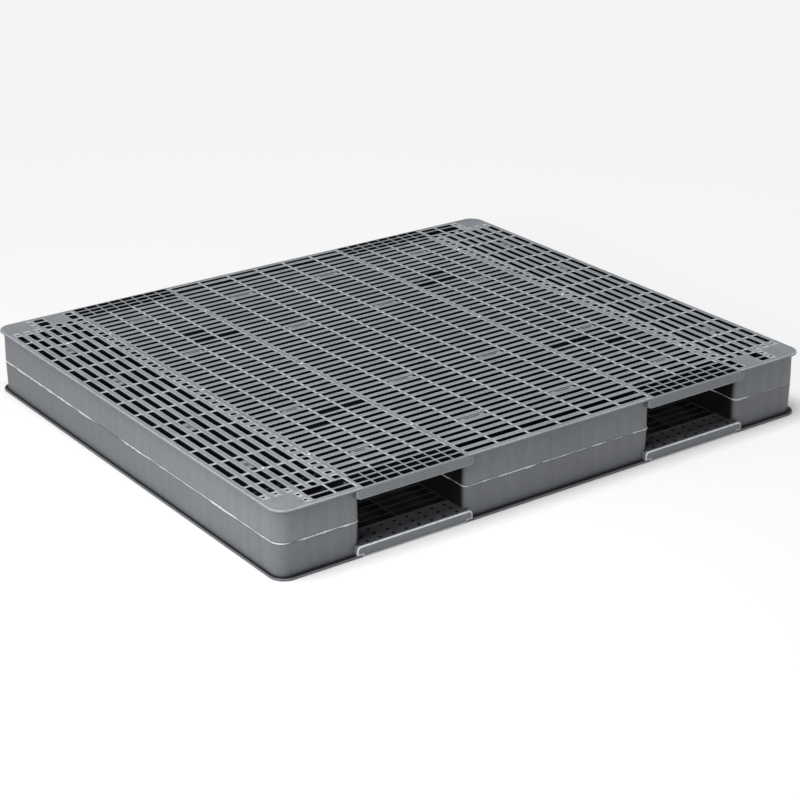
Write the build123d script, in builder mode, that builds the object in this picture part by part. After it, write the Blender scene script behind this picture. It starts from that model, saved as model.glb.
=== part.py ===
from build123d import *
import os

# Two-way, double-faced plastic pallet: two identical ribbed mouldings welded face to face at mid-height.
# Millimetres.  +Z is up, the floor is Z = 0, and the fork tunnels run along Y.

# Whole pallet
LENGTH = 1400
WIDTH = 1200
HEIGHT = 150
MIDDLE = HEIGHT / 2

# Deck of one moulding: a slotted plate over a grid of thin webs
PLATE = 5
DECK_DEPTH = 25
RIM_RADIUS = 35
WEB = 3.5
OUTER_WALL = 4
SIDE_SETBACK = 8
END_SETBACK = 12

# Heights measured on the upper moulding
DECK_TOP = HEIGHT
PLATE_BASE = DECK_TOP - PLATE
DECK_BASE = DECK_TOP - DECK_DEPTH
WEB_DEPTH = PLATE_BASE - DECK_BASE
BLOCK_HEIGHT = DECK_BASE - MIDDLE

# Fork tunnels
TUNNEL_WIDTH = 258
TUNNEL_X = 376.5
TUNNEL_INNER = TUNNEL_X - TUNNEL_WIDTH / 2
TUNNEL_OUTER = TUNNEL_X + TUNNEL_WIDTH / 2

# Entry beams across the tunnel mouths
BEAM_DEPTH = 67
BEAM_FLOOR = 3
BRACKET = 13
BRACKET_RADIUS = 10
CELL_PITCH_X = 31.4
CELL_PITCH_Y = 20.75
CELL_X = 28.2
CELL_Y = 15.5
CELL_CENTRE_Y = 567
CELLS_ACROSS = 8
CELLS_DEEP = 3
DRAIN_RADIUS = 4

# Slots that run across the pallet
ROW_PITCH = 25
ROWS = 43
SLOT_Y = 12.5
CENTRE_PITCH = 81.6
CENTRE_SLOT = 76.1
CENTRE_COLUMNS = 6
SIDE_X = 375.8
SIDE_PITCH = 61.3
SIDE_SLOT = 55.8
SIDE_COLUMNS = 4
STRIP_INNER = 249
STRIP_OUTER = 503
POCKET_Y = 20
POCKET_FLOOR = 2
POCKET_DEPTH = 12
END_ROWS = ((552.5, 17), (580.25, 12.5))

# Slots that run along the pallet, over the side blocks
BAND_X = 544.3
BAND_PITCH = 27.3
BAND_COLUMNS = 6
BAND_SLOT = 13.7
BAND_PERIOD = 75
BAND_LENGTH = 68.5
BAND_REPEATS = 11
SHORT_SLOTS = ((439.2, 44.5), (489.6, 45.3))
STUB_Y = 527.5
STUB_LENGTH = 19
SMALL_HOLE = 3.5
SMALL_HOLE_Y = 522
BAND_MIDDLE = BAND_X + BAND_PITCH * (BAND_COLUMNS - 1) / 2

# Column of small windows beside the bands
WINDOW_X = 517.5
WINDOW_WIDTH = 15
WINDOW_STEP = 27.3
WINDOW_LONG = 13
WINDOW_SHORT = 9.5
END_WINDOWS = ((422.5, 13), (450.5, 9.5), (474.5, 13), (501.5, 9.5), (527.5, 15))

# Corner windows: wide ones on one diagonal, narrow ones on the other
CORNER_ROWS = ((553.5, 25), (578.5, 15))
WIDE_WINDOWS = ((584, 48), (533, 44))
NARROW_WINDOWS = ((597.5, 25), (521, 18))
CORNER_HOLE_X = 621
CORNER_HOLE_ROWS = (550, 577)

# Injection points, each a slot left closed, and tray pockets, three to each tunnel mouth
INJECTION_POINTS = [(side * x, y) for side in (-1, 1) for x in (122.4, 406.45) for y in (-450, -200, 200, 450)]
INJECTION_POINTS += [(side * 626.2, y) for side in (-1, 1) for y in (-375, -150, 150, 375)]
FRONT_POCKETS = ((283.85, -250), (345.15, -250), (406.45, -300))
REAR_POCKETS = ((283.85, 250), (345.15, 250), (345.15, 300))
POCKETS = [(side * x, y) for side in (-1, 1) for x, y in FRONT_POCKETS + REAR_POCKETS]

# Blocks between the decks
BLOCK_WALL = 4
BLOCK_RIB = 3
TUNNEL_EDGE_RADIUS = 12
WALL_RADIUS = RIM_RADIUS - SIDE_SETBACK
WALL_X = LENGTH / 2 - SIDE_SETBACK
WALL_Y = WIDTH / 2 - END_SETBACK
SIDE_BLOCK_WIDTH = WALL_X - TUNNEL_OUTER
SIDE_BLOCK_X = (WALL_X + TUNNEL_OUTER) / 2
CROSS_RIBS = 14
END_RIB_Y = 537.5
LAST_RIB_Y = 567.5

# Weld bead squeezed out where the two mouldings meet
BEAD_OUT = 2
BEAD_HEIGHT = 4

os.makedirs("parts", exist_ok=True)


def save(builder, name):
    """Label the finished piece and write it as one STEP file."""
    builder.part.label = name
    export_step(builder.part, f"parts/{name}.step", write_pcurves=False)


def turned_over(builder):
    """The same moulding, turned half a turn about X so that it faces the floor."""
    axis = Axis((0, 0, MIDDLE), (1, 0, 0))
    with BuildPart() as lower:
        add(builder.part.rotate(axis, 180))
    return lower


def tunnel_mouths():
    """The four places where the entry beams stand."""
    with GridLocations(2 * TUNNEL_X, WIDTH - BEAM_DEPTH, 2, 2):
        Rectangle(TUNNEL_WIDTH, BEAM_DEPTH, mode=Mode.SUBTRACT)


def slot_grid(width, length, pitch_x, pitch_y, columns, rows):
    """Equal slots on a regular grid, as loose faces."""
    with GridLocations(pitch_x, pitch_y, columns, rows):
        return Rectangle(width, length, mode=Mode.PRIVATE).faces()


def slot_pair(width, length, y, columns=1, pitch=1):
    """The same row of slots at both ends of the pallet."""
    return slot_grid(width, length, pitch, 2 * y, columns, 2)


def cross_slots():
    """Slots that run across the pallet, in the middle field and over both tunnels."""
    slots = slot_grid(CENTRE_SLOT, SLOT_Y, CENTRE_PITCH, ROW_PITCH, CENTRE_COLUMNS, ROWS)
    for side in (-1, 1):
        with Locations((side * SIDE_X, 0)):
            slots += slot_grid(SIDE_SLOT, SLOT_Y, SIDE_PITCH, ROW_PITCH, SIDE_COLUMNS, ROWS)
    for y, length in END_ROWS:
        slots += slot_pair(CENTRE_SLOT, length, y, CENTRE_COLUMNS, CENTRE_PITCH)
    return slots


def band_slots(side):
    """Long slots and their shorter end slots over one side block."""
    with Locations((side * BAND_MIDDLE, 0)):
        slots = slot_grid(BAND_SLOT, BAND_LENGTH, BAND_PITCH, BAND_PERIOD, BAND_COLUMNS, BAND_REPEATS)
        for y, length in SHORT_SLOTS:
            slots += slot_pair(BAND_SLOT, length, y, BAND_COLUMNS, BAND_PITCH)
    with Locations((side * (BAND_X + BAND_PITCH), 0)):
        slots += slot_pair(BAND_SLOT, STUB_LENGTH, STUB_Y, 3, BAND_PITCH)
    with Locations((side * (BAND_X + 4 * BAND_PITCH), 0)):
        with GridLocations(BAND_PITCH, 2 * SMALL_HOLE_Y, 3, 2):
            slots += Circle(SMALL_HOLE, mode=Mode.PRIVATE).faces()
    return slots


def windows(side):
    """Column of small windows between the tunnel field and the bands."""
    slots = []
    with Locations((side * WINDOW_X, 0)):
        slots += slot_grid(WINDOW_WIDTH, WINDOW_SHORT, 1, BAND_PERIOD, 1, BAND_REPEATS)
        for y, length in END_WINDOWS:
            slots += slot_pair(WINDOW_WIDTH, length, y)
    for shift in (-WINDOW_STEP, WINDOW_STEP):
        with Locations((side * WINDOW_X, shift)):
            slots += slot_grid(WINDOW_WIDTH, WINDOW_LONG, 1, BAND_PERIOD, 1, BAND_REPEATS)
    return slots


def corner_windows():
    """Windows and small holes at the four corners, alike on opposite corners."""
    slots = []
    for columns, diagonal in ((WIDE_WINDOWS, 1), (NARROW_WINDOWS, -1)):
        for x, width in columns:
            for y, length in CORNER_ROWS:
                with Locations((x, diagonal * y), (-x, -diagonal * y)):
                    slots += Rectangle(width, length, mode=Mode.PRIVATE).faces()
    for y in CORNER_HOLE_ROWS:
        with GridLocations(2 * CORNER_HOLE_X, 2 * y, 2, 2):
            slots += Circle(SMALL_HOLE, mode=Mode.PRIVATE).faces()
    return slots


def pocket_windows():
    """Taller windows over the tray pockets."""
    with Locations(*POCKETS):
        return Rectangle(SIDE_SLOT, POCKET_Y, mode=Mode.PRIVATE).faces()


def without(slots, places):
    """The slots whose centres are not at any of the places."""
    centres = [Vector(x, y) for x, y in places]
    return [slot for slot in slots if all((slot.center() - c).length > 1 for c in centres)]


# Deck plate: one slotted sheet with an overhanging lip, left closed at the injection points
with BuildPart() as upper_deck_plate:
    with BuildSketch(Plane.XY.offset(PLATE_BASE)) as plate_sketch:
        RectangleRounded(LENGTH, WIDTH, RIM_RADIUS)
        tunnel_mouths()
        openings = without(cross_slots(), INJECTION_POINTS + POCKETS)
        openings += corner_windows() + pocket_windows()
        for side in (-1, 1):
            openings += without(band_slots(side), INJECTION_POINTS) + windows(side)
        outline = plate_sketch.sketch_local.face().outer_wire()
        add(Face(outline, [opening.outer_wire() for opening in openings]), mode=Mode.REPLACE)
    extrude(amount=PLATE)
save(upper_deck_plate, "upper_deck_plate")
lower_deck_plate = turned_over(upper_deck_plate)
save(lower_deck_plate, "lower_deck_plate")

# Web grid: thin webs under the bars of the plate, inside a wall that is set back below the lip
with BuildPart() as upper_web_grid:
    with BuildSketch(Plane.XY.offset(DECK_BASE)):
        webs = []
        with GridLocations(1, ROW_PITCH, 1, ROWS - 1):
            webs += Rectangle(2 * TUNNEL_OUTER, WEB, mode=Mode.PRIVATE).faces()
        with GridLocations(1, BAND_PERIOD, 1, CROSS_RIBS):
            webs += Rectangle(2 * WALL_X - OUTER_WALL, WEB, mode=Mode.PRIVATE).faces()
        for y in (END_RIB_Y, LAST_RIB_Y):
            with GridLocations(1, 2 * y, 1, 2):
                webs += Rectangle(2 * WALL_X - OUTER_WALL, WEB, mode=Mode.PRIVATE).faces()
        for x in (STRIP_INNER, SIDE_X, STRIP_OUTER):
            with GridLocations(2 * x, 1, 2, 1):
                webs += Rectangle(WEB, 2 * WALL_Y - OUTER_WALL, mode=Mode.PRIVATE).faces()
        for middle, columns in ((-BAND_MIDDLE, 3), (0, 1), (BAND_MIDDLE, 3)):
            with Locations((middle, 0)):
                with GridLocations(2 * BAND_PITCH, 1, columns, 1):
                    webs += Rectangle(WEB, 2 * WALL_Y - OUTER_WALL, mode=Mode.PRIVATE).faces()
        RectangleRounded(2 * WALL_X, 2 * WALL_Y, WALL_RADIUS)
        offset(amount=-OUTER_WALL, mode=Mode.SUBTRACT)
        add(webs)
        tunnel_mouths()
    extrude(amount=WEB_DEPTH)
    with BuildSketch(Plane.XY.offset(DECK_TOP - POCKET_DEPTH - POCKET_FLOOR)):
        with Locations(*POCKETS):
            Rectangle(SIDE_SLOT, ROW_PITCH - WEB)
    extrude(amount=POCKET_FLOOR)
save(upper_web_grid, "upper_web_grid")
lower_web_grid = turned_over(upper_web_grid)
save(lower_web_grid, "lower_web_grid")

# Entry beams: a flush fascia and a field of small cells, each with a floor and a drain hole
for side, side_name in ((-1, "left"), (1, "right")):
    for end, end_name in ((-1, "front"), (1, "rear")):
        beam_y = end * (WIDTH - BEAM_DEPTH) / 2
        with BuildPart() as beam:
            with BuildSketch(Plane.XY.offset(DECK_BASE)):
                with Locations((side * TUNNEL_X, beam_y)):
                    Rectangle(TUNNEL_WIDTH, BEAM_DEPTH)
            extrude(amount=DECK_DEPTH)
            with BuildSketch(Plane.XY.offset(DECK_BASE + BEAM_FLOOR)):
                with Locations((side * TUNNEL_X, end * CELL_CENTRE_Y)):
                    with GridLocations(CELL_PITCH_X, CELL_PITCH_Y, CELLS_ACROSS, CELLS_DEEP):
                        Rectangle(CELL_X, CELL_Y)
            extrude(amount=DECK_DEPTH, mode=Mode.SUBTRACT)
            with BuildSketch(Plane.XY.offset(DECK_BASE)):
                with Locations((side * TUNNEL_X, end * CELL_CENTRE_Y)):
                    with GridLocations(CELL_PITCH_X, CELL_PITCH_Y, CELLS_ACROSS, CELLS_DEEP):
                        Circle(DRAIN_RADIUS)
            extrude(amount=BEAM_FLOOR, mode=Mode.SUBTRACT)
            with BuildSketch(Plane.XZ.offset(-end * WALL_Y)):
                with Locations((side * TUNNEL_X, (DECK_BASE + PLATE_BASE) / 2)):
                    Rectangle(TUNNEL_WIDTH + 2 * BRACKET, WEB_DEPTH)
                fillet(vertices().group_by(Axis.Y)[0], BRACKET_RADIUS)
            extrude(amount=-end * END_SETBACK)
        save(beam, f"upper_{end_name}_{side_name}_entry_beam")
        # Turned over about X, a front beam of the upper moulding becomes a rear beam of the lower one
        opposite = "rear" if end_name == "front" else "front"
        save(turned_over(beam), f"lower_{opposite}_{side_name}_entry_beam")

# Blocks: thin outer walls with cross ribs, hollow up to the deck, and rounded where they meet a tunnel
for side, side_name in ((-1, "left"), (1, "right")):
    outer, inner = (0, -1) if side < 0 else (-1, 0)
    with BuildPart() as block:
        with BuildSketch(Plane.XY.offset(MIDDLE)):
            with Locations((side * SIDE_BLOCK_X, 0)):
                Rectangle(SIDE_BLOCK_WIDTH, 2 * WALL_Y)
            fillet(vertices().group_by(Axis.X)[outer], WALL_RADIUS)
            fillet(vertices().group_by(Axis.X)[inner], TUNNEL_EDGE_RADIUS)
            offset(amount=-BLOCK_WALL, mode=Mode.SUBTRACT)
            with Locations((side * SIDE_BLOCK_X, 0)):
                with GridLocations(1, BAND_PERIOD, 1, CROSS_RIBS):
                    Rectangle(SIDE_BLOCK_WIDTH - BLOCK_WALL, BLOCK_RIB)
                with GridLocations(1, 2 * END_RIB_Y, 1, 2):
                    Rectangle(SIDE_BLOCK_WIDTH - BLOCK_WALL, BLOCK_RIB)
            with Locations((side * BAND_MIDDLE, 0)):
                with GridLocations(2 * BAND_PITCH, 1, 3, 1):
                    Rectangle(BLOCK_RIB, 2 * WALL_Y - BLOCK_WALL)
        extrude(amount=BLOCK_HEIGHT)
    save(block, f"upper_{side_name}_block")
    save(turned_over(block), f"lower_{side_name}_block")

with BuildPart() as centre_block:
    with BuildSketch(Plane.XY.offset(MIDDLE)):
        RectangleRounded(2 * TUNNEL_INNER, 2 * WALL_Y, TUNNEL_EDGE_RADIUS)
        offset(amount=-BLOCK_WALL, mode=Mode.SUBTRACT)
        with GridLocations(1, BAND_PERIOD, 1, CROSS_RIBS):
            Rectangle(2 * TUNNEL_INNER - BLOCK_WALL, BLOCK_RIB)
        for y in (END_RIB_Y, LAST_RIB_Y):
            with GridLocations(1, 2 * y, 1, 2):
                Rectangle(2 * TUNNEL_INNER - BLOCK_WALL, BLOCK_RIB)
        with GridLocations(CENTRE_PITCH, 1, CENTRE_COLUMNS - 1, 1):
            Rectangle(BLOCK_RIB, 2 * WALL_Y - BLOCK_WALL)
    extrude(amount=BLOCK_HEIGHT)
save(centre_block, "upper_centre_block")
save(turned_over(centre_block), "lower_centre_block")

# Weld beads: plastic squeezed out all round each block when the two mouldings were pressed together
for side, side_name in ((-1, "left"), (1, "right")):
    outer, inner = (0, -1) if side < 0 else (-1, 0)
    with BuildPart() as bead:
        with BuildSketch(Plane.XY.offset(MIDDLE - BEAD_HEIGHT / 2)):
            with Locations((side * SIDE_BLOCK_X, 0)):
                Rectangle(SIDE_BLOCK_WIDTH + 2 * BEAD_OUT, 2 * (WALL_Y + BEAD_OUT))
            fillet(vertices().group_by(Axis.X)[outer], WALL_RADIUS + BEAD_OUT)
            fillet(vertices().group_by(Axis.X)[inner], TUNNEL_EDGE_RADIUS + BEAD_OUT)
            offset(amount=-BEAD_OUT, mode=Mode.SUBTRACT)
        extrude(amount=BEAD_HEIGHT)
    save(bead, f"{side_name}_weld_bead")

with BuildPart() as centre_bead:
    with BuildSketch(Plane.XY.offset(MIDDLE - BEAD_HEIGHT / 2)):
        RectangleRounded(2 * (TUNNEL_INNER + BEAD_OUT), 2 * (WALL_Y + BEAD_OUT), TUNNEL_EDGE_RADIUS + BEAD_OUT)
        offset(amount=-BEAD_OUT, mode=Mode.SUBTRACT)
    extrude(amount=BEAD_HEIGHT)
save(centre_bead, "centre_weld_bead")
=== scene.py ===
import math

import bpy
import numpy as np
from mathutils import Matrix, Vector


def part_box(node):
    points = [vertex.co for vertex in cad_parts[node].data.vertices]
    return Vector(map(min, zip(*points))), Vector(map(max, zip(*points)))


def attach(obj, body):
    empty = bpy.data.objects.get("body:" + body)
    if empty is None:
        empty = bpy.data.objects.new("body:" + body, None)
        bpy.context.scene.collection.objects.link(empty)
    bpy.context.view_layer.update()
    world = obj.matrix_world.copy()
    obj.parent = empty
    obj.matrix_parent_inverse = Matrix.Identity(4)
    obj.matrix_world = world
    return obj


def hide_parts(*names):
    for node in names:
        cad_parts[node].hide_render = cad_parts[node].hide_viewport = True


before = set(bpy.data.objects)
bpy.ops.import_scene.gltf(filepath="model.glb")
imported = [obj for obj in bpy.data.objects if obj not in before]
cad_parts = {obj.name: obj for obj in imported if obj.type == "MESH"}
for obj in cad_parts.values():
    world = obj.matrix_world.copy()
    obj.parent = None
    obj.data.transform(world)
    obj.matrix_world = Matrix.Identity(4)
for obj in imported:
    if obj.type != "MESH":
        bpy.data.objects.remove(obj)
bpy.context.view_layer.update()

# --------------------------------------------------------------------------------------------------
# Web grids.  Thin polypropylene webs stand under every bar of each deck, inside a wall set back below
# the lip.  They are moulded in one shot with the deck plate, so they keep the shape of the frame and
# take the moulded finish in a near-black grey: painted shade for the dark inside of the pallet.
MM = 0.001
GREY = (0.229, 0.244, 0.264)
GREY_DEEP = (0.100, 0.107, 0.116)
# Pale grey: rubbed wear on edges, and painted highlight on rounded rims.
RUBBED_AND_HIGHLIT = (0.54, 0.57, 0.60)
DUST = (0.28, 0.297, 0.312)
# Near black: the colour of painted shade in recesses and near the floor.
PAINTED_SHADE = (0.006, 0.006, 0.007)


def socket(group, name, kind, way, value=None):
    """One named socket on a node group."""
    made = group.interface.new_socket(name, in_out=way, socket_type=kind)
    if value is not None:
        made.default_value = value
    return made


def wire(tree, *pairs):
    """Join output sockets to input sockets."""
    for start, end in pairs:
        tree.links.new(start, end)


def maths(tree, operation, first, second=None, clamp=False):
    """A Math node: first and second are sockets or plain numbers."""
    node = tree.nodes.new("ShaderNodeMath")
    node.operation = operation
    node.use_clamp = clamp
    for slot_index, value in enumerate((first, second)):
        if isinstance(value, bpy.types.NodeSocket):
            tree.links.new(value, node.inputs[slot_index])
        elif value is not None:
            node.inputs[slot_index].default_value = value
    return node.outputs[0]


def noise(tree, place, scale, detail, roughness=0.55):
    """Fractal noise read at a place."""
    node = tree.nodes.new("ShaderNodeTexNoise")
    node.inputs["Scale"].default_value = scale
    node.inputs["Detail"].default_value = detail
    node.inputs["Roughness"].default_value = roughness
    wire(tree, (place, node.inputs["Vector"]))
    return node.outputs["Fac"]


def remap(tree, value, low, high, out_low, out_high):
    """Straight-line map of a value from one range to another, held inside it."""
    node = tree.nodes.new("ShaderNodeMapRange")
    for name, number in zip(("From Min", "From Max", "To Min", "To Max"), (low, high, out_low, out_high)):
        node.inputs[name].default_value = number
    wire(tree, (value, node.inputs["Value"]))
    return node.outputs["Result"]


def new_group(name, inputs, outputs):
    """An empty shader node group with named number sockets, and its two end nodes."""
    group = bpy.data.node_groups.new(name, "ShaderNodeTree")
    socket(group, "Place", "NodeSocketVector", "INPUT")
    for label, value in inputs:
        socket(group, label, "NodeSocketFloat", "INPUT", value)
    for label in outputs:
        socket(group, label, "NodeSocketFloat", "OUTPUT")
    return group, group.nodes.new("NodeGroupInput"), group.nodes.new("NodeGroupOutput")


def make_grain():
    """Moulded grain: a fine spark-eroded texture over a slow flow of lighter and darker plastic, as the
    sum of a slow, a middle and a fine noise.  Only the two finer ones raise the skin."""
    group, given, result = new_group("moulded_grain", (("Flow", 1.0),), ("Tone", "Height"))
    place = given.outputs["Place"]
    slow = remap(group, noise(group, place, 9.0, 3.0), 0.30, 0.70, -0.3, 0.3)
    middle = remap(group, noise(group, place, 70.0, 3.0), 0.30, 0.70, -0.15, 0.15)
    fine = remap(group, noise(group, place, 460.0, 2.0), 0.30, 0.70, -0.9, 0.9)
    tone = maths(group, "ADD", maths(group, "ADD", slow, middle), fine)
    wire(group, (maths(group, "MULTIPLY", tone, given.outputs["Flow"]), result.inputs["Tone"]),
         (maths(group, "ADD", fine, middle), result.inputs["Height"]))
    return group


def make_rubbing_and_highlight():
    """Rubbed edges and painted highlights: where the edge attribute is high the skin is painted paler, as
    wear and as the highlight on rounded edges, in broken patches.
    """
    group, given, result = new_group("rubbed_and_highlit_edges", (("Strength", 1.0),), ("Mask",))
    edge = group.nodes.new("ShaderNodeAttribute")
    edge.attribute_name = "edge"
    broken = remap(group, noise(group, given.outputs["Place"], 160.0, 3.0), 0.34, 0.66, 0.5, 1.25)
    mask = maths(group, "MULTIPLY", maths(group, "MULTIPLY", edge.outputs["Fac"], broken),
                 given.outputs["Strength"], clamp=True)
    wire(group, (mask, result.inputs["Mask"]))
    return group


def make_painted_shade():
    """Painted shade: dark where the edge attribute is below nought, as inside slots, cells and recesses, and
    painted shade along the foot of upright faces near the floor.
    """
    group, given, result = new_group("recess_painted_shade", (("Amount", 1.0),), ("Mask",))
    edge = group.nodes.new("ShaderNodeAttribute")
    edge.attribute_name = "edge"
    recess = remap(group, edge.outputs["Fac"], -0.3, 0.0, 1.0, 0.0)
    facing = group.nodes.new("ShaderNodeNewGeometry")
    tilt = group.nodes.new("ShaderNodeSeparateXYZ")
    height = group.nodes.new("ShaderNodeSeparateXYZ")
    wire(group, (facing.outputs["Normal"], tilt.inputs[0]), (given.outputs["Place"], height.inputs[0]))
    sideways = maths(group, "SUBTRACT", 1.0, maths(group, "ABSOLUTE", tilt.outputs["Z"]), clamp=True)
    line = maths(group, "MULTIPLY", remap(group, height.outputs["Z"], 0.004, 0.009, 0.4, 0.0), sideways)
    darkest = maths(group, "MAXIMUM", recess, line)
    mask = maths(group, "MULTIPLY", darkest, given.outputs["Amount"], clamp=True)
    wire(group, (mask, result.inputs["Mask"]))
    return group


def make_dust():
    """Dust and scuffs: pale film on surfaces that look up, thicker in patches, with fine scratches."""
    group, given, result = new_group("yard_dust", (("Amount", 0.3),), ("Mask",))
    facing = group.nodes.new("ShaderNodeNewGeometry")
    split = group.nodes.new("ShaderNodeSeparateXYZ")
    wire(group, (facing.outputs["Normal"], split.inputs[0]))
    up = remap(group, split.outputs["Z"], 0.2, 0.95, 0.0, 1.0)
    patches = remap(group, noise(group, given.outputs["Place"], 14.0, 5.0, 0.65), 0.42, 0.72, 0.15, 1.0)
    stretch = group.nodes.new("ShaderNodeMapping")
    stretch.inputs["Scale"].default_value = (0.6, 16.0, 4.0)
    stretch.inputs["Rotation"].default_value = (0.0, 0.0, 0.5)
    wire(group, (given.outputs["Place"], stretch.inputs["Vector"]))
    scratches = remap(group, noise(group, stretch.outputs["Vector"], 34.0, 4.0, 0.6), 0.64, 0.72, 0.0, 0.8)
    film = maths(group, "MAXIMUM", patches, scratches)
    wire(group, (maths(group, "MULTIPLY", maths(group, "MULTIPLY", up, film), given.outputs["Amount"]),
                 result.inputs["Mask"]))
    return group


RIB_SPACING = 0.0375


def make_sinks():
    """Sink bands: faint upright stripes where the ribs inside a wall draw its skin, every rib pitch."""
    group, given, result = new_group("sink_bands", (("Strength", 1.0),), ("Tone",))
    split = group.nodes.new("ShaderNodeSeparateXYZ")
    wire(group, (given.outputs["Place"], split.inputs[0]))
    along = maths(group, "ADD", split.outputs["X"], split.outputs["Y"])
    wobble = noise(group, given.outputs["Place"], 5.0, 2.0)
    turns = maths(group, "ADD", maths(group, "MULTIPLY", along, 2 * math.pi / RIB_SPACING),
                  maths(group, "MULTIPLY", wobble, 2.5))
    broad = maths(group, "SINE", turns)
    stretch = group.nodes.new("ShaderNodeMapping")
    stretch.inputs["Scale"].default_value = (1.0, 1.0, 0.06)
    wire(group, (given.outputs["Place"], stretch.inputs["Vector"]))
    streaks = remap(group, noise(group, stretch.outputs["Vector"], 120.0, 4.0, 0.6), 0.32, 0.68, -1.0, 1.0)
    tone = maths(group, "ADD", maths(group, "MULTIPLY", broad, 0.45), streaks)
    wire(group, (maths(group, "MULTIPLY", tone, given.outputs["Strength"]), result.inputs["Tone"]))
    return group


GRAIN = make_grain()
RUBBING_AND_HIGHLIGHT = make_rubbing_and_highlight()
DUSTING = make_dust()
PAINTED_SHADING = make_painted_shade()
SINKS = make_sinks()


def place_group(tree, group, place, **values):
    """One group node, fed with the object's own coordinates."""
    node = tree.nodes.new("ShaderNodeGroup")
    node.node_tree = group
    wire(tree, (place, node.inputs["Place"]))
    for label, value in values.items():
        node.inputs[label].default_value = value
    return node


def blend_colour(tree, share, first, second):
    """Mix of two colours, each a socket or a plain colour."""
    node = tree.nodes.new("ShaderNodeMix")
    node.data_type = "RGBA"
    wire(tree, (share, node.inputs["Factor"]))
    for name, value in (("A", first), ("B", second)):
        target = [s for s in node.inputs if s.name == name and s.type == "RGBA"][0]
        if isinstance(value, bpy.types.NodeSocket):
            wire(tree, (value, target))
        else:
            target.default_value = (*value, 1.0)
    return [s for s in node.outputs if s.type == "RGBA"][0]


def moulded(name, light, deep, rub_and_highlight=1.0, dust=0.3, sinks=0.0, flow=1.0, rough=0.46, bump=0.25, shade_amount=1.0,
             polish_and_highlight=RUBBED_AND_HIGHLIT):
    """Injection-moulded polypropylene in one grey: grain, sink bands, dust, rubbed edges with painted
    highlights, and painted shade in recesses and near the floor.
    """
    material = bpy.data.materials.new(name)
    material.use_nodes = True
    tree = material.node_tree
    shader = tree.nodes["Principled BSDF"]
    place = tree.nodes.new("ShaderNodeTexCoord").outputs["Object"]
    grain = place_group(tree, GRAIN, place, Flow=flow)
    bands = place_group(tree, SINKS, place, Strength=sinks)
    tone = maths(tree, "ADD", grain.outputs["Tone"], bands.outputs["Tone"])
    colour = blend_colour(tree, remap(tree, tone, -1.0, 1.0, 0.0, 1.0), deep, light)
    film = place_group(tree, DUSTING, place, Amount=dust)
    colour = blend_colour(tree, film.outputs["Mask"], colour, DUST)
    # Rubbed wear with painted highlight on the edges, then painted shade in recesses and near the floor.
    edge_wear_and_painted_light = place_group(tree, RUBBING_AND_HIGHLIGHT, place, Strength=rub_and_highlight)
    colour = blend_colour(tree, edge_wear_and_painted_light.outputs["Mask"], colour, polish_and_highlight)
    shade_node = place_group(tree, PAINTED_SHADING, place, Amount=shade_amount)
    colour = blend_colour(tree, shade_node.outputs["Mask"], colour, PAINTED_SHADE)
    shine = maths(tree, "ADD", remap(tree, grain.outputs["Tone"], -1.0, 1.0, rough - 0.07, rough + 0.07),
                  maths(tree, "MULTIPLY", film.outputs["Mask"], 0.3))
    relief = tree.nodes.new("ShaderNodeBump")
    relief.inputs["Strength"].default_value = bump
    relief.inputs["Distance"].default_value = 0.0004
    wire(tree, (colour, shader.inputs["Base Color"]), (shine, shader.inputs["Roughness"]),
         (grain.outputs["Height"], relief.inputs["Height"]),
         (relief.outputs["Normal"], shader.inputs["Normal"]))
    return material


def finish(piece, material):
    """Put a new piece on the pallet's body, in its material."""
    piece.data.materials.clear()
    piece.data.materials.append(material)
    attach(piece, "root")


# Near-black greys: painted shade for the same plastic seen deep inside the pallet.
SHADED = (0.0190, 0.0195, 0.021)
SHADED_DEEP = (0.0104, 0.0106, 0.0113)
shaded_inner_plastic = moulded("painted_shade_inner_polypropylene", SHADED, SHADED_DEEP, rub_and_highlight=0.0, dust=0.04, sinks=0.2,
                        shade_amount=0.0)
for half in ("upper", "lower"):
    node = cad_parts[f"{half}_web_grid"]
    node.data.materials.clear()
    node.data.materials.append(shaded_inner_plastic)

# --------------------------------------------------------------------------------------------------
# Blocks.  Six hollow legs of 4 mm polypropylene wall over cross ribs, three to each moulding.  Their
# walls lean out to the weld at mid-height so that they leave the mould, and sink a little at each rib.
low_corner, high_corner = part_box("upper_deck_plate")
LENGTH = (high_corner.x - low_corner.x) / MM
WIDTH = (high_corner.y - low_corner.y) / MM
TOP = high_corner.z / MM
PLATE_BASE = low_corner.z / MM
left_low, left_high = (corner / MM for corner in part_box("upper_left_block"))
MIDDLE = left_low.z
DECK_BASE = left_high.z
WALL_X = -left_low.x
WALL_Y = left_high.y
TUNNEL_OUTER = -left_high.x
TUNNEL_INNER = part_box("upper_centre_block")[1].x / MM
RIM_RADIUS = 35.0
WALL_RADIUS = RIM_RADIUS - (LENGTH / 2 - WALL_X)
TUNNEL_EDGE_RADIUS = 12.0
BAND_PERIOD = 75.0
BAND_PITCH = 27.3
BAND_MIDDLE = 612.55
CENTRE_PITCH = 81.6
DRAFT = 1.4
SINK = 0.32
GROOVE = 3.6
RIB_INSET = 20.0
RIB_GAP = 3.9
DIP_WIDTH = 3.5
FIELD_END = 537.5


def join(*shapes):
    """One shape from several: points stacked, faces renumbered, edge values stacked."""
    starts = np.cumsum([0] + [len(shape[0]) for shape in shapes[:-1]])
    points = np.concatenate([shape[0] for shape in shapes])
    faces = [group + start for shape, start in zip(shapes, starts) for group in shape[1]]
    return points, faces, np.concatenate([shape[2] for shape in shapes])


def turned_over(shape):
    """Half a turn about the X line at mid-height: y and z change sign about it."""
    points = shape[0] * (1, -1, -1) + (0, 0, TOP)
    return points, shape[1], shape[2]


def turned_round(shape):
    """Half a turn about the upright through the centre: x and y change sign."""
    return shape[0] * (-1, -1, 1), shape[1], shape[2]


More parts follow.
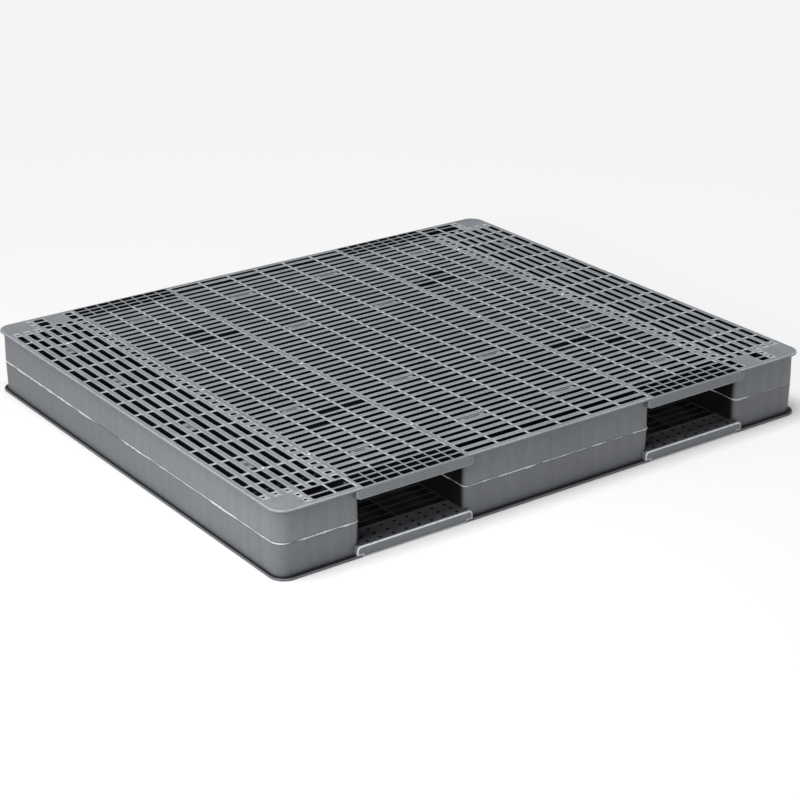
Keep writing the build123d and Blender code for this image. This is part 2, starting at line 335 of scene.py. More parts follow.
def new_piece(name, shape, smooth=35.0):
    """A mesh object from a shape in millimetres, smooth except across angles above the limit."""
    points, faces, edge = shape
    mesh = bpy.data.meshes.new(name)
    mesh.from_pydata((points * MM).tolist(), [], [f for group in faces for f in group.tolist()])
    mesh.attributes.new("edge", "FLOAT", "POINT").data.foreach_set("value", edge.astype(np.float32))
    mesh.polygons.foreach_set("use_smooth", np.ones(len(mesh.polygons), bool))
    mesh.set_sharp_from_angle(angle=math.radians(smooth))
    piece = bpy.data.objects.new(name, mesh)
    bpy.context.scene.collection.objects.link(piece)
    even = piece.modifiers.new("even_normals", "WEIGHTED_NORMAL")
    even.keep_sharp = True
    return piece


def rounded_loop(x_low, x_high, y_low, y_high, radii, spacing=6.0):
    """Points and outward normals round a rectangle with its own radius at each corner, anticlockwise
    from the low-x, low-y one: straight runs cut at even steps, corners as quarter circles."""
    corners = ((x_low, y_low, 1, 1), (x_high, y_low, -1, 1), (x_high, y_high, -1, -1),
               (x_low, y_high, 1, -1))
    points, normals = [], []
    for index, ((x, y, sx, sy), r) in enumerate(zip(corners, radii)):
        angle = math.pi * (1 + index / 2) + np.linspace(0, math.pi / 2, 13)
        ring = np.stack([np.cos(angle), np.sin(angle)], 1)
        arc = np.array([x + sx * r, y + sy * r]) + r * ring
        nx, ny, nsx, nsy = corners[(index + 1) % 4]
        nr = radii[(index + 1) % 4]
        turn = angle[-1]
        start = np.array([nx + nsx * nr, ny + nsy * nr]) + nr * np.array([math.cos(turn), math.sin(turn)])
        count = max(2, int(np.hypot(*(start - arc[-1])) / spacing))
        run = arc[-1] + np.linspace(0, 1, count + 1)[1:-1, None] * (start - arc[-1])
        points += [arc, run]
        normals += [ring, np.repeat(ring[-1:], len(run), 0)]
    return np.concatenate(points), np.concatenate(normals)


def swept(points, normals, outward, heights, edge, closed=True):
    """A section carried along a path: each path point moved along its normal by the section's outward
    distance, at the section's height.  outward may differ along the path.  Open paths get end caps."""
    count, steps = len(points), np.shape(heights)[-1]
    outward = np.broadcast_to(outward, (count, steps))
    place = points[:, None, :] + normals[:, None, :] * outward[..., None]
    lift = np.broadcast_to(np.asarray(heights, float), (count, steps))[..., None]
    grid = np.arange(count * steps).reshape(count, steps)
    here = grid if closed else grid[:-1]
    there = np.roll(grid, -1, 0) if closed else grid[1:]
    side = np.stack([here, there, np.roll(there, -1, 1), np.roll(here, -1, 1)], -1).reshape(-1, 4)
    faces = [side] if closed else [side, grid[:1], grid[-1:, ::-1]]
    return (np.concatenate([place, lift], -1).reshape(-1, 3), faces,
            np.broadcast_to(edge, (count, steps)).reshape(-1).astype(float))


# Edge values down a hole: four round its rolled rim, then one at the underside.  Above nought they paint
# wear and highlight on the rim, below nought painted shade down the hole.
SLOT_WEAR_AND_PAINTED_LIGHT = (0.75, 1.0, 0.55, -0.6, -1.0)
LONG_EDGE = 0.30


def slotted(x, y, holes, low, high, corner=2.5, rounding=1.0, over=0.0, wear_and_painted_light=SLOT_WEAR_AND_PAINTED_LIGHT,
            long_edge=LONG_EDGE):
    """A sheet between two heights, ruled into rectangles at x and y.  holes gives each rectangle's hole
    as its four sides, or nan where there is none.  Each hole is a ring of twelve points, repeated as its
    rim rolls over by a quarter circle and then drops straight to the underside.  over and the ring values
    are the edge values of the upper side and of the five rings: above nought wear with painted highlight,
    below nought painted shade; a hole's long sides wear and shine less than its ends, by the share
    long_edge."""
    nx, ny = len(x) - 1, len(y) - 1
    flat = np.stack(np.meshgrid(x, y, indexing="ij"), -1).reshape(-1, 2)
    base = len(flat)
    ids = np.arange(base).reshape(nx + 1, ny + 1)
    cell = np.stack([ids[1:, 1:], ids[:-1, 1:], ids[:-1, :-1], ids[1:, :-1]], -1).reshape(-1, 4)
    holes = holes.reshape(-1, 4)
    open_cells = ~np.isnan(holes[:, 0])
    solid = cell[~open_cells]
    around, hole = cell[open_cells], holes[open_cells]
    angle = (np.arange(4)[:, None] * 90 + np.array([0, 45, 90])).ravel() * math.pi / 180
    turn = np.stack([np.cos(angle), np.sin(angle)], 1)
    signs = np.repeat(np.array([[1, 1], [-1, 1], [-1, -1], [1, -1]]), 3, 0)
    centre = (hole[:, 0::2] + hole[:, 1::2]) / 2
    half = (hole[:, 1::2] - hole[:, 0::2]) / 2
    r = np.minimum(corner, half.min(1))
    steps = np.linspace(0, math.pi / 2, 4)
    grow = np.append(rounding * (1 - np.sin(steps)), 0.0)
    fall = np.append(high - rounding * (1 - np.cos(steps)), low)
    arm = (half - r[:, None])[:, None, None, :] * signs
    ring = centre[:, None, None, :] + arm + (r[:, None, None, None] + grow[:, None, None]) * turn
    levels = np.broadcast_to(fall[:, None, None], ring.shape[:-1] + (1,))
    rings = np.concatenate([ring, levels], -1)
    number = 2 * base + np.arange(rings[..., 0].size).reshape(rings.shape[:3])

    def lid(outer, inner):
        """The flat between a rectangle and its hole: a quad to each side, two triangles to each corner."""
        quads = [np.stack([inner[:, 3 * q + 2], outer[:, q], outer[:, (q + 1) % 4],
                           inner[:, (3 * q + 3) % 12]], -1) for q in range(4)]
        corners = [np.stack([inner[:, 3 * q + s], outer[:, q], inner[:, 3 * q + s + 1]], -1)
                   for q in range(4) for s in (0, 1)]
        return np.concatenate(quads), np.concatenate(corners)

    top_quads, top_corners = lid(around, number[:, 0])
    low_quads, low_corners = lid(around + base, number[:, -1])
    upper, lower = number[:, :-1], number[:, 1:]
    wall = np.stack([upper, np.roll(upper, -1, 2), np.roll(lower, -1, 2), lower], -1).reshape(-1, 4)
    front, back, left, right = ids[:, 0], ids[::-1, -1], ids[0, ::-1], ids[-1, :]
    rim = [np.stack([e[:-1] + base, e[1:] + base, e[1:], e[:-1]], -1) for e in (front, back, left, right)]
    points = np.concatenate([np.c_[flat, np.full(base, high)], np.c_[flat, np.full(base, low)],
                             rings.reshape(-1, 3)])
    ends = np.where((half[:, 0] > half[:, 1])[:, None], np.abs(turn[:, 0]), np.abs(turn[:, 1]))
    share = long_edge + (1 - long_edge) * ends[:, None, :]
    wear_and_painted_light = np.array(wear_and_painted_light, float)[:, None]
    ring_edge = np.where(wear_and_painted_light > 0, wear_and_painted_light * share, wear_and_painted_light)
    edge = np.concatenate([np.full(base, over), np.full(base, wear_and_painted_light[-1, 0]), ring_edge.ravel()])
    quads = np.concatenate([solid, solid[:, ::-1] + base, top_quads, low_quads[:, ::-1], wall] + rim)
    return points, [quads, np.concatenate([top_corners, low_corners[:, ::-1]])], edge


def plain_holes(columns, rows):
    """Hole sides for every column and row pair: a column or row gives its hole's two sides, or nan."""
    columns, rows = np.array(columns, float), np.array(rows, float)
    holes = np.concatenate([np.broadcast_to(columns[:, None, :], (len(columns), len(rows), 2)),
                            np.broadcast_to(rows[None, :, :], (len(columns), len(rows), 2))], -1).copy()
    holes[np.isnan(holes).any(-1)] = np.nan
    return holes


def ribs(x_low, x_high, rib_x, rib_y, y_end):
    """Cross ribs inside a block: the walls between rectangular wells that run its full height."""
    thick = 1.5
    x = np.concatenate([[x_low], rib_x, [x_high]])
    y = np.concatenate([[-y_end], rib_y, [y_end]])
    wells_x = np.stack([x[:-1] + thick, x[1:] - thick], 1)
    wells_y = np.stack([y[:-1] + thick, y[1:] - thick], 1)
    # Edge values of -1 throughout: the ribs are painted dark all over, as shade inside the block.
    return slotted(x, y, plain_holes(wells_x, wells_y), MIDDLE, DECK_BASE, 1.5, 0.3, -1.0, (-1.0,) * 5)


def wall(x_low, x_high, radii, rib_x, rib_y, tunnel_sides):
    """A block's wall: a thin section that leans out to the weld line, carried round the block's plan,
    and drawn in by a narrow bell curve wherever a rib meets it.  Painted shadow darkens the groove beside
    the weld, under the bead, and painted shade darkens the sides that face a fork tunnel, deeper in."""
    points, normals = rounded_loop(x_low, x_high, -WALL_Y, WALL_Y, radii)
    heights = np.array([MIDDLE, MIDDLE, MIDDLE + GROOVE, MIDDLE + 25, DECK_BASE - 10, PLATE_BASE,
                        PLATE_BASE, DECK_BASE])
    lean = DRAFT * (PLATE_BASE - heights) / (PLATE_BASE - MIDDLE) + 0.4
    lean[0], lean[1], lean[-2:] = -4.0, lean[1] - 1.0, (-1.0, -4.0)
    across = np.abs(normals[:, 0]) > 0.7
    place = np.where(across, points[:, 1], points[:, 0])
    gap_y = np.abs(place[:, None] - rib_y).min(1)
    gap_x = np.abs(place[:, None] - rib_x).min(1)
    gap = np.where(across, gap_y, gap_x)
    dip = SINK * np.exp(-((gap / DIP_WIDTH) ** 2))
    skin = np.array([0, 0.3, 1, 1, 1, 1, 0, 0])
    inside = np.isin(np.sign(np.round(normals[:, 0])), tunnel_sides) * across
    depth = np.clip((WALL_Y - 3 - np.abs(points[:, 1])) / 8, 0, 1) * inside
    # Painted shadow in the weld groove, painted shade on the tunnel sides.
    edge = np.array([-0.16, -0.16, 0, 0, 0, 0, 0, 0]) - 0.29 * depth[:, None] * skin
    return swept(points, normals, lean - dip[:, None] * skin, heights, edge)


rib_rows = np.concatenate([[-FIELD_END], (np.arange(14) - 6.5) * BAND_PERIOD, [FIELD_END]])
side_ribs = BAND_MIDDLE + np.array([-2, 0, 2]) * BAND_PITCH
centre_ribs = np.arange(-2, 3) * CENTRE_PITCH
left_block = join(
    wall(-WALL_X, -TUNNEL_OUTER, (WALL_RADIUS, TUNNEL_EDGE_RADIUS, TUNNEL_EDGE_RADIUS, WALL_RADIUS),
         -side_ribs, rib_rows, (1,)),
    ribs(-WALL_X + RIB_GAP, -TUNNEL_OUTER - RIB_GAP, -side_ribs[::-1], rib_rows, WALL_Y - RIB_INSET))
centre_block = join(
    wall(-TUNNEL_INNER, TUNNEL_INNER, (TUNNEL_EDGE_RADIUS,) * 4, centre_ribs, rib_rows, (-1, 1)),
    ribs(-TUNNEL_INNER + RIB_GAP, TUNNEL_INNER - RIB_GAP, centre_ribs, rib_rows, WALL_Y - RIB_INSET))
# A darker grey for the lower blocks: painted shade, as the lower moulding gets less light from above.
LOWER_SHADED_GREY = (0.190, 0.202, 0.218)
LOWER_SHADED_GREY_DEEP = (0.083, 0.088, 0.095)
wall_plastic = moulded("wall_polypropylene", GREY, GREY_DEEP, rub_and_highlight=0.5, dust=0.1, sinks=0.15, flow=0.4)
shaded_low_wall_plastic = moulded("painted_shade_low_wall_polypropylene", LOWER_SHADED_GREY, LOWER_SHADED_GREY_DEEP, rub_and_highlight=0.5, dust=0.1,
                           sinks=0.15, flow=0.5)
for name, shape in (("left", left_block), ("centre", centre_block), ("right", turned_round(left_block))):
    for half in ("upper", "lower"):
        block = new_piece(f"{half}_{name}_ribbed_block", shape if half == "upper" else turned_over(shape))
        finish(block, wall_plastic if half == "upper" else shaded_low_wall_plastic)
        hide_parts(f"{half}_{name}_block")

# --------------------------------------------------------------------------------------------------
# Deck plates.  A 5 mm slotted sheet of polypropylene on each face, with every slot's rim rolled over
# and a round-nosed lip that overhangs the walls.  Slots at the injection points are left closed.
ROW_PITCH = 25.0
SLOT = 12.5
LIP = 8.0
NOSE = 2.0
FACE = TOP - 0.4
NAN_PAIR = (np.nan, np.nan)
PAD_DROP = 2.0
# Negative edge values on and in the pads: painted shade in the recess and its tray.
PAD_SHADE = 0.08
TRAY_DEPTH = 0.9
TRAY_SHADE = 0.17
GATE_RADIUS = 3.4
BEAM_INNER = -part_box("upper_front_left_entry_beam")[1].y / MM
BAND_EDGE = BAND_MIDDLE - 3 * BAND_PITCH
EDGE_Y = WIDTH / 2 - LIP
EDGE_X = LENGTH / 2 - LIP
INJECTION_X = (122.4, 406.45)
INJECTION_Y = (-450.0, -200.0, 200.0, 450.0)
SIDE_INJECTION_X = 626.2
SIDE_INJECTION_Y = (-375.0, -150.0, 150.0, 375.0)
CENTRE_SLOT = 76.1
PLAIN_X = 665.0
SMALL_HOLE = 3.5
SIDE_X = 375.8
SIDE_PITCH = 61.3
SIDE_SLOT = 55.8
POCKETS = ((283.85, 250), (345.15, 250), (345.15, 300), (283.85, -250), (345.15, -250), (406.45, -300))


def evenly(middle, pitch, width, count):
    """Count hole sides of one width at one pitch about a middle."""
    centres = middle + (np.arange(count) - (count - 1) / 2) * pitch
    return np.stack([centres - width / 2, centres + width / 2], 1)


def cell_of(lines, place):
    """Which rectangle of a ruled line a place falls in."""
    return int(np.searchsorted(lines, place)) - 1


def centre_field():
    """Six slots to a row between the tunnels, with two wider rows at each end."""
    x = np.concatenate([[-TUNNEL_INNER], (np.arange(7) - 3) * CENTRE_PITCH, [TUNNEL_INNER]])
    columns = np.concatenate([[NAN_PAIR], evenly(0, CENTRE_PITCH, CENTRE_SLOT, 6), [NAN_PAIR]])
    lines = (np.arange(44) - 21.5) * ROW_PITCH
    y = np.concatenate([[-EDGE_Y, -567.5], lines, [567.5, EDGE_Y]])
    rows = np.concatenate([[(-586.5, -574), (-561, -544)], evenly(0, ROW_PITCH, SLOT, 43),
                           [(544, 561), (574, 586.5)]])
    return slotted(x, y, plain_holes(columns, rows), PLATE_BASE, FACE)


def tunnel_field(pockets):
    """Four slots to a row over the right tunnel, with taller windows where the tray pockets are."""
    x = np.concatenate([[TUNNEL_INNER], SIDE_X + (np.arange(5) - 2) * SIDE_PITCH, [TUNNEL_OUTER]])
    columns = np.concatenate([[NAN_PAIR], evenly(SIDE_X, SIDE_PITCH, SIDE_SLOT, 4), [NAN_PAIR]])
    y = (np.arange(44) - 21.5) * ROW_PITCH
    y[0], y[-1] = -BEAM_INNER, BEAM_INNER
    holes = plain_holes(columns, evenly(0, ROW_PITCH, SLOT, 43))
    for px, py in pockets:
        holes[cell_of(x, px), cell_of(y, py), 2:] = (py - 10, py + 10)
    return slotted(x, y, holes, PLATE_BASE, FACE)


def window_column():
    """Three small windows to each period beside the bands, and five more at each end."""
    periods = (np.arange(-5, 6) * BAND_PERIOD)[:, None]
    lines = (periods + np.array([-37.5, -13.65, 13.65])).ravel()
    rows = (periods[..., None] + np.array([(-33.8, -20.8), (-4.75, 4.75), (20.8, 33.8)])).reshape(-1, 2)
    end_lines = np.array([412.5, 437.0, 462.0, 489.0, 513.0, FIELD_END])
    end_rows = [(416, 429), (445.7, 455.2), (468, 481), (496.7, 506.2), (520, 535)]
    y = np.concatenate([-end_lines[:0:-1], lines, end_lines])
    rows = np.concatenate([-np.array(end_rows)[::-1, ::-1], rows, end_rows])
    x = np.array([TUNNEL_OUTER, BAND_EDGE])
    return slotted(x, y, plain_holes([(510, 525)], rows), PLATE_BASE, FACE)


def band_field():
    """Six columns of long slots over the right block, ending in shorter ones, stubs and small holes."""
    x = np.append(BAND_EDGE + np.arange(6) * BAND_PITCH, EDGE_X)
    columns = evenly(BAND_MIDDLE, BAND_PITCH, 13.7, 6)
    y = np.concatenate([[-FIELD_END, -514, -464.25], (np.arange(12) - 5.5) * BAND_PERIOD,
                        [464.25, 514, FIELD_END]])
    rows = np.concatenate([[(-535.5, -518), (-512.2, -467), (-461.4, -417)],
                           evenly(0, BAND_PERIOD, 68.5, 11),
                           [(417, 461.4), (467, 512.2), (518, 535.5)]])
    holes = plain_holes(columns, rows)
    middle = columns.mean(1)[3:]
    for row, place in ((0, -522.0), (-1, 522.0)):
        holes[3:, row] = np.stack([middle - SMALL_HOLE, middle + SMALL_HOLE,
                                   np.full(3, place - SMALL_HOLE), np.full(3, place + SMALL_HOLE)], 1)
    return slotted(x, y, holes, PLATE_BASE, FACE)


def corner_field(wide, end):
    """Windows at the right-hand corners: two wide ones, or two narrow ones about a solid patch."""
    columns = [(511, 555), (560, 608)] if wide else [(512, 530), NAN_PAIR, (585, 610)]
    between = [557.5] if wide else [533, 582]
    x = np.array([TUNNEL_OUTER, *between, 612, 630, PLAIN_X])
    y = np.array([FIELD_END, 568.5, EDGE_Y])
    rows = np.array([(541, 566), (571, 586)], float)
    holes = plain_holes(columns + [(617.5, 624.5), NAN_PAIR], rows)
    holes[-2, :, 2:] = [(546.5, 553.5), (573.5, 580.5)]
    if end < 0:
        y, holes = -y[::-1], holes[:, ::-1][..., [0, 1, 3, 2]]
        holes[..., 2:] = -holes[..., 2:]
    return slotted(x, y, holes, PLATE_BASE, FACE)


def prism(outline, low, high, rounding=0.0, level=2.0, foot=0.0):
    """A flat plate of a given outline.  With a rounding its upper rim rolls over by a quarter circle, and
    the band of wear and painted highlight on it fades out across the level distance.  foot is the edge value
    of its underside, below nought painted shade."""
    ahead, behind = np.roll(outline, -1, 0) - outline, outline - np.roll(outline, 1, 0)
    out_a = np.stack([ahead[:, 1], -ahead[:, 0]], 1) / np.hypot(*ahead.T)[:, None]
    out_b = np.stack([behind[:, 1], -behind[:, 0]], 1) / np.hypot(*behind.T)[:, None]
    out = (out_a + out_b) / (1 + (out_a * out_b).sum(1))[:, None]
    steps = np.linspace(0, math.pi / 2, 4) if rounding else np.zeros(1)
    outward = np.append(0.0, rounding * (np.cos(steps) - 1))
    heights = np.append(low, high - rounding * (1 - np.sin(steps)))
    edge_wear_and_painted_light = np.linspace(0, 1, len(heights)) * (rounding > 0)
    edge_wear_and_painted_light[0] = foot
    if rounding:
        outward = np.append(outward, -rounding - level)
        heights = np.append(heights, high)
        edge_wear_and_painted_light = np.append(edge_wear_and_painted_light, 0.0)
    count, levels = len(outline), len(heights)
    place = outline[:, None] + out[:, None] * outward[:, None]
    lift = np.broadcast_to(heights[:, None], (count, levels, 1))
    points = np.concatenate([place, lift], -1).reshape(-1, 3)
    grid = np.arange(count * levels).reshape(count, levels)
    ahead_grid = np.roll(grid, -1, 0)
    side = np.stack([grid[:, :-1], ahead_grid[:, :-1], ahead_grid[:, 1:], grid[:, 1:]], -1).reshape(-1, 4)
    return points, [side, grid[None, :, -1], grid[None, ::-1, 0]], np.tile(edge_wear_and_painted_light, count)


def box_shape(x_low, x_high, y_low, y_high, low, high):
    """A rectangular plate."""
    outline = np.array([(x_low, y_low), (x_high, y_low), (x_high, y_high), (x_low, y_high)], float)
    return prism(outline, low, high)


def corner_plate(end):
    """Solid corner inside the lip: a strip up to the rim's arc, and the quarter disc that the arc rounds."""
    turn = np.linspace(0, math.pi / 2, 13)
    start = 565.0
    fan = np.stack([PLAIN_X + WALL_RADIUS * np.cos(turn), start + WALL_RADIUS * np.sin(turn)], 1)
    outline = np.concatenate([[(PLAIN_X, FIELD_END), (EDGE_X, FIELD_END)], fan])
    if end < 0:
        outline = outline[::-1] * (1, -1)
    # Its underside takes a negative edge value: painted shade under the plate.
    return prism(outline, PLATE_BASE, FACE, foot=-0.3)


def lip(points, normals):
    """The rim strip: a flat section with a rounded nose, carried along one run of the pallet's edge."""
    turn = np.linspace(0, math.pi / 2, 5)
    outward = np.concatenate([[-LIP, -0.8, 0.0], NOSE * (np.cos(turn) - 1), [-NOSE - 1.5, -LIP]])
    heights = np.concatenate([[PLATE_BASE, PLATE_BASE, PLATE_BASE + 0.8], FACE + NOSE * (np.sin(turn) - 1),
                              [FACE, FACE]])
    # Painted shade under the lip, darkest at the wall and fading outward; wear with painted highlight round
    # the nose.
    edge = np.concatenate([[-0.7, -0.12, 0], np.linspace(0.1, 0.5, 5), [0.05, 0]])
    return swept(points, normals, outward, heights, edge, closed=False)


def side_lip():
    """Right-hand rim: from the front tunnel mouth round both corners to the rear one."""
    points, normals = rounded_loop(-LENGTH / 2, LENGTH / 2, -WIDTH / 2, WIDTH / 2, (RIM_RADIUS,) * 4, 12.0)
    keep = points[:, 0] > TUNNEL_OUTER
    points, normals = points[keep], normals[keep]
    first = np.array([[TUNNEL_OUTER, -WIDTH / 2]])
    last = np.array([[TUNNEL_OUTER, WIDTH / 2]])
    return lip(np.concatenate([first, points, last]),
               np.concatenate([[(0, -1)], normals, [(0, 1)]]))


def centre_lip():
    """Front rim between the two tunnel mouths."""
    x = np.linspace(-TUNNEL_INNER, TUNNEL_INNER, 40)
    points = np.stack([x, np.full(40, -WIDTH / 2)], 1)
    return lip(points, np.tile([0.0, -1.0], (40, 1)))


def pad(x, y, half_x, half_y):
    """A plate just below the deck with a shallow tray sunk along its middle."""
    tray_x, tray_y = half_x * 0.62, half_y * 0.42
    hole = np.array([[[x - tray_x, x + tray_x, y - tray_y, y + tray_y]]], float)
    plate = slotted(np.array([x - half_x, x + half_x]), np.array([y - half_y, y + half_y]), hole, PLATE_BASE,
                    # Painted shade on the sunk pad, down its tray walls and on the tray floor; slight wear
                    # and highlight on its rim.
                    FACE - PAD_DROP, 1.5, 0.5, -PAD_SHADE, (0.2, 0.3, 0.1, -0.2, -0.3))
    points, faces, edge = box_shape(x - tray_x - 1, x + tray_x + 1, y - tray_y - 1, y + tray_y + 1,
                                    PLATE_BASE + 0.3, FACE - PAD_DROP - TRAY_DEPTH)
    return join(plate, (points, faces, edge - TRAY_SHADE))


def injection_pads():
    """Closed slots at the injection points: a pad a little below the deck, with a gap at each end."""
    pads = []
    for y in INJECTION_Y:
        for x, width in zip(INJECTION_X, (CENTRE_SLOT, SIDE_SLOT)):
            pads.append(pad(x, y, width / 2 - 5, 6.6))
    for y in SIDE_INJECTION_Y:
        pads.append(pad(SIDE_INJECTION_X, y, 7.2, 20))
    return join(*pads)


def gate_marks():
    """Small domes where the runners met the deck, a hair above it, painted near white as glints: painted
    highlight.  Twelve-sided discs, rim rolled.
    """
    turn = np.linspace(0, 2 * math.pi, 13)[:-1]
    ring = GATE_RADIUS * np.stack([np.cos(turn), np.sin(turn)], 1)
    places = [(x, y) for x in (249, 502) for y in (-410, 0, 410)] + [(611, 411), (611, -411), (0, 300)]
    return join(*[prism(np.array(p) + ring, FACE - 0.5, TOP, 0.7, 0.8) for p in places])


half_deck = join(window_column(), band_field(), corner_field(True, 1), corner_field(False, -1),
                 corner_plate(1), corner_plate(-1), side_lip(), centre_lip(), injection_pads())
opposite_pockets = [(x, -y) for x, y in POCKETS]
deck = join(centre_field(), half_deck, turned_round(half_deck), tunnel_field(POCKETS),
            turned_round(tunnel_field(opposite_pockets)))
marks = join(gate_marks(), turned_round(gate_marks()))
deck_plastic = moulded("deck_polypropylene", GREY, GREY_DEEP, rub_and_highlight=1.0, dust=0.3, flow=1.0)
# Near white with low roughness: painted highlight for the glints on the gate domes.
gate_glint_plastic = moulded("gate_glint_polypropylene", (0.78, 0.79, 0.81), (0.56, 0.57, 0.59), rub_and_highlight=0.0, dust=0.0,
                       rough=0.25)
for half, shape in (("upper", deck), ("lower", turned_over(deck))):
    plate = new_piece(f"{half}_slotted_deck", shape)
    finish(plate, deck_plastic)
    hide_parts(f"{half}_deck_plate")
for half, shape in (("upper", marks), ("lower", turned_over(marks))):
    finish(new_piece(f"{half}_gate_marks", shape, 60.0), gate_glint_plastic)

# --------------------------------------------------------------------------------------------------
# Entry beams.  Eight polypropylene beams over and under the tunnel mouths: a flush fascia with a
# rounded edge and bracket ends, before three rows of small cells with a floor and a drain hole each.
BEAM_FLOOR = 3.0
BRACKET = 13.0
BRACKET_RADIUS = 10.0
FASCIA = 3.0
# Edge value of the beam floor's underside: light painted shade where it faces the tunnel.
CELL_FLOOR_SHADE = -0.215
CELL_PITCH_X = 31.4
CELL_PITCH_Y = 20.75
CELLS_Y = -567.0
DRAIN = 8.0
TUNNEL_X = (TUNNEL_INNER + TUNNEL_OUTER) / 2
HALF_TUNNEL = (TUNNEL_OUTER - TUNNEL_INNER) / 2


def lying_to_standing(shape, y_back):
    """A plate made flat, stood up so that its upper side looks along -y, with its foot at y_back."""
    x, z, out = shape[0].T
    return np.stack([x, y_back - out, z], 1), shape[1], shape[2]


def fascia_outline():
    """The beam's front, anticlockwise: bracket ends with rounded lower corners, below the lip."""
    reach = HALF_TUNNEL + BRACKET
    turn = np.linspace(0, math.pi / 2, 7)
    right = np.stack([reach + BRACKET_RADIUS * (np.sin(turn) - 1),
                      DECK_BASE + BRACKET_RADIUS * (1 - np.cos(turn))], 1)
    half = np.concatenate([right, [(reach, PLATE_BASE), (HALF_TUNNEL, PLATE_BASE), (HALF_TUNNEL, FACE)]])
    return np.concatenate([half, half[::-1] * (-1, 1)])


def entry_beam():
    """A front beam of the upper moulding, centred on its tunnel."""
    x = np.concatenate([[-HALF_TUNNEL], (np.arange(1, 8) - 4) * CELL_PITCH_X, [HALF_TUNNEL]])
    y = np.array([-WIDTH / 2 + FASCIA, -577.4, -556.6, -BEAM_INNER])
    cells = plain_holes(evenly(0, CELL_PITCH_X, 28.2, 8), evenly(CELLS_Y, CELL_PITCH_Y, 15.5, 3))
    drains = plain_holes(evenly(0, CELL_PITCH_X, DRAIN, 8), evenly(CELLS_Y, CELL_PITCH_Y, DRAIN, 3))
    grid = slotted(x, y, cells, DECK_BASE + BEAM_FLOOR, FACE, 1.8, 0.8, long_edge=0.9)
    # The cell floors and drain holes are painted dark all over: painted shade in the cells.
    floor = slotted(x, y, drains, DECK_BASE, DECK_BASE + BEAM_FLOOR, 3.7, 0.6, -1.0,
                    (-1, -1, -1, -1, CELL_FLOOR_SHADE))
    fascia = lying_to_standing(prism(fascia_outline(), 0, FASCIA, 2.0), -WIDTH / 2 + FASCIA)
    ends = []
    for side in (-1, 1):
        inner, outer = side * HALF_TUNNEL, side * (HALF_TUNNEL + BRACKET - 1.0)
        ends.append(box_shape(min(inner, outer), max(inner, outer), -WIDTH / 2 + FASCIA, -WALL_Y,
                              DECK_BASE + 2.5, PLATE_BASE))
    return join(grid, floor, fascia, *ends)


def shifted(shape, x):
    """A shape moved along x."""
    return shape[0] + (x, 0, 0), shape[1], shape[2]


beam = entry_beam()
# The sills take a strong pale edge and the lintels a weak one: on the sills it is wear and a painted
# highlight, where the rounded edge faces the light.
lintel_plastic = moulded("lintel_polypropylene", GREY, GREY_DEEP, rub_and_highlight=0.2, dust=0.25, sinks=0.1, flow=0.5)
highlit_sill_plastic = moulded("highlit_sill_polypropylene", GREY, GREY_DEEP, rub_and_highlight=1.35, dust=0.25, sinks=0.1, flow=0.5,
                       polish_and_highlight=(0.74, 0.755, 0.78))
for side, x in (("left", -TUNNEL_X), ("right", TUNNEL_X)):
    front = shifted(beam, x)
    rear = shifted(turned_round(beam), x)
    for name, shape in (("upper_front", front), ("upper_rear", rear),
                        ("lower_rear", turned_over(front)), ("lower_front", turned_over(rear))):
        piece = new_piece(f"{name}_{side}_mouth_beam", shape)
        finish(piece, lintel_plastic if name.startswith("upper") else highlit_sill_plastic)
        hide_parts(f"{name}_{side}_entry_beam")

# --------------------------------------------------------------------------------------------------
# Weld beads.  Plastic squeezed out all round each block when the hot faces of the two mouldings were
# pressed together: glossier than the walls, painted near white as a highlight, lumpy, and in places wiped
# nearly flat.
bead_draw = np.random.default_rng(11)
WIPED_Y = 85.0
WIPED_HALF = 70.0


def wander(count, length, finest, draw):
    """A smooth closed random line: sine waves down to the finest wavelength, with random phases."""
    waves = np.arange(1, int(length / finest))
    phase = draw.uniform(0, 2 * math.pi, len(waves))
    size = draw.normal(0, 1, len(waves))
    along = np.arange(count)[:, None] / count * 2 * math.pi
    line = (size * np.sin(along * waves + phase)).sum(1)
    return line / line.std()


def weld_bead(x_low, x_high, radii, draw):
    """A thin tube carried round the block at the weld line, its radius and height wandering."""
    points, normals = rounded_loop(x_low, x_high, -WALL_Y, WALL_Y, radii, 2.5)
    steps = np.hypot(*(np.roll(points, -1, 0) - points).T)
    count, length = len(points), steps.sum()
    swell = wander(count, length, 45, draw) * 0.5 + wander(count, length, 9, draw) * 0.3
    bend = np.abs(normals[:, 0] * normals[:, 1]) * 2
    outer = np.abs(points[:, 0]) > WALL_X - 1
    wiped = np.exp(-(((points[:, 1] - WIPED_Y) / WIPED_HALF) ** 4)) * outer
    squeezed = np.clip(0.9 + 0.7 * wander(count, length, 90, draw), 0.45, 1) * (1 - wiped)
    radius = np.clip((1.3 + 0.8 * swell + 0.7 * bend + 0.4 * outer) * squeezed, 0.12, 2.7)
    sway = wander(count, length, 60, draw) * 0.25
    turn = np.linspace(0, 2 * math.pi, 13)[:-1]
    outward = DRAFT - 0.4 + radius[:, None] * (0.35 + 0.85 * np.cos(turn))
    heights = MIDDLE + sway[:, None] + radius[:, None] * 1.05 * np.sin(turn)
    return swept(points, normals, outward, heights, np.clip(radius[:, None] / 1.6, 0, 1))


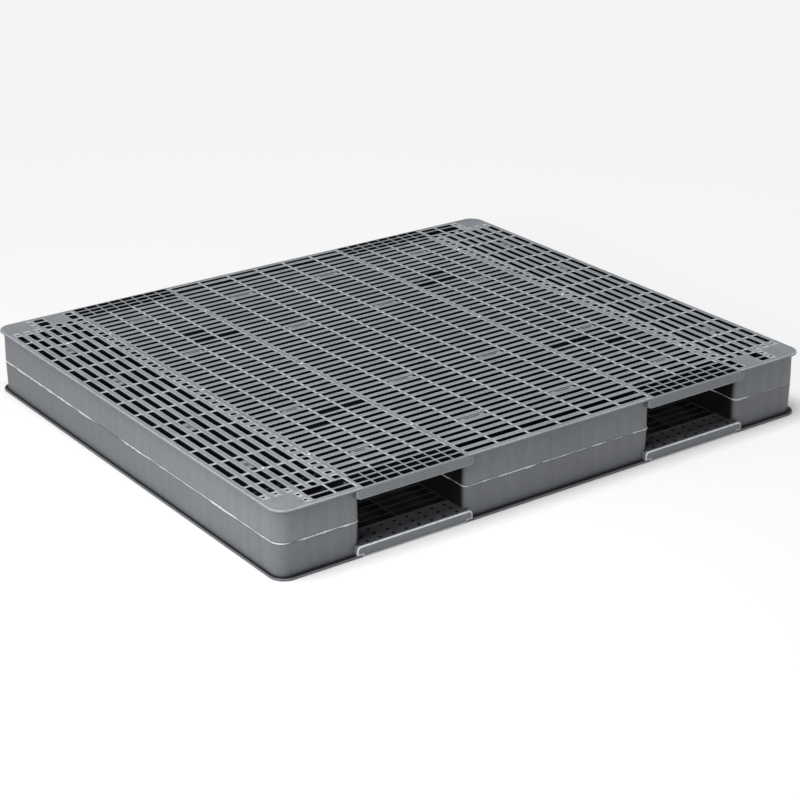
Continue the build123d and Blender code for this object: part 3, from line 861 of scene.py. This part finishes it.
# Near white: painted highlight along the bead.
bead_highlight_plastic = moulded("weld_highlight_polypropylene", (0.77, 0.785, 0.80), (0.47, 0.48, 0.495), rub_and_highlight=0.0, dust=0.1,
                       rough=0.30, bump=0.4)
side_radii = (WALL_RADIUS, TUNNEL_EDGE_RADIUS, TUNNEL_EDGE_RADIUS, WALL_RADIUS)
for name, limits, radii, turned in (
        ("left", (-WALL_X, -TUNNEL_OUTER), side_radii, False),
        ("centre", (-TUNNEL_INNER, TUNNEL_INNER), (TUNNEL_EDGE_RADIUS,) * 4, False),
        ("right", (-WALL_X, -TUNNEL_OUTER), side_radii, True)):
    shape = weld_bead(*limits, radii, bead_draw)
    bead = new_piece(f"{name}_weld_flash", turned_round(shape) if turned else shape, 60.0)
    finish(bead, bead_highlight_plastic)
    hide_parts(f"{name}_weld_bead")

# --------------------------------------------------------------------------------------------------
# Stage.  A plain pale floor, a broad key light high on the left, a soft box low beside the front left
# corner, a weak white surround, and a camera that looks down on the front corner.
FLOOR = 150
floor_mesh = bpy.data.meshes.new("floor")
floor_mesh.from_pydata([(-FLOOR, -FLOOR, 0), (FLOOR, -FLOOR, 0), (FLOOR, FLOOR, 0), (-FLOOR, FLOOR, 0)],
                       [], [(0, 1, 2, 3)])
floor = bpy.data.objects.new("floor", floor_mesh)
bpy.context.scene.collection.objects.link(floor)
paper = bpy.data.materials.new("pale_floor")
paper.use_nodes = True
paper.node_tree.nodes["Principled BSDF"].inputs["Base Color"].default_value = (0.71, 0.71, 0.71, 1)
paper.node_tree.nodes["Principled BSDF"].inputs["Roughness"].default_value = 0.9
floor_mesh.materials.append(paper)


def studio_light(kind, name, place, energy):
    """A light at a place, turned so that it shines from there at the middle of the pallet."""
    data = bpy.data.lights.new(name, kind)
    data.energy = energy
    light = bpy.data.objects.new(name, data)
    light.location = place
    away = np.array(place) / np.linalg.norm(place)
    light.rotation_euler = (math.acos(away[2]), 0, math.atan2(away[1], away[0]) + math.pi / 2)
    bpy.context.scene.collection.objects.link(light)
    return data


studio_light("SUN", "key", (-0.20, 0.02, 1.0), 3.42).angle = math.radians(40)
studio_light("AREA", "corner_light", (-1.8, -1.0, 1.0), 14).size = 0.7
world = bpy.data.worlds.new("studio")
world.use_nodes = True
world.node_tree.nodes["Background"].inputs["Color"].default_value = (1, 1, 1, 1)
world.node_tree.nodes["Background"].inputs["Strength"].default_value = 0.21
bpy.context.scene.world = world
bpy.context.scene.view_settings.view_transform = "Standard"

camera_data = bpy.data.cameras.new("camera")
camera_data.lens = 91.72
camera_data.sensor_width = 36.0
camera_data.clip_end = 400.0
camera = bpy.data.objects.new("camera", camera_data)
camera.location = (-2.5222, -3.4994, 1.8422)
camera.rotation_euler = (math.radians(90 - 23.137), 0, math.radians(54.010 - 90))
bpy.context.scene.collection.objects.link(camera)
bpy.context.scene.camera = camera
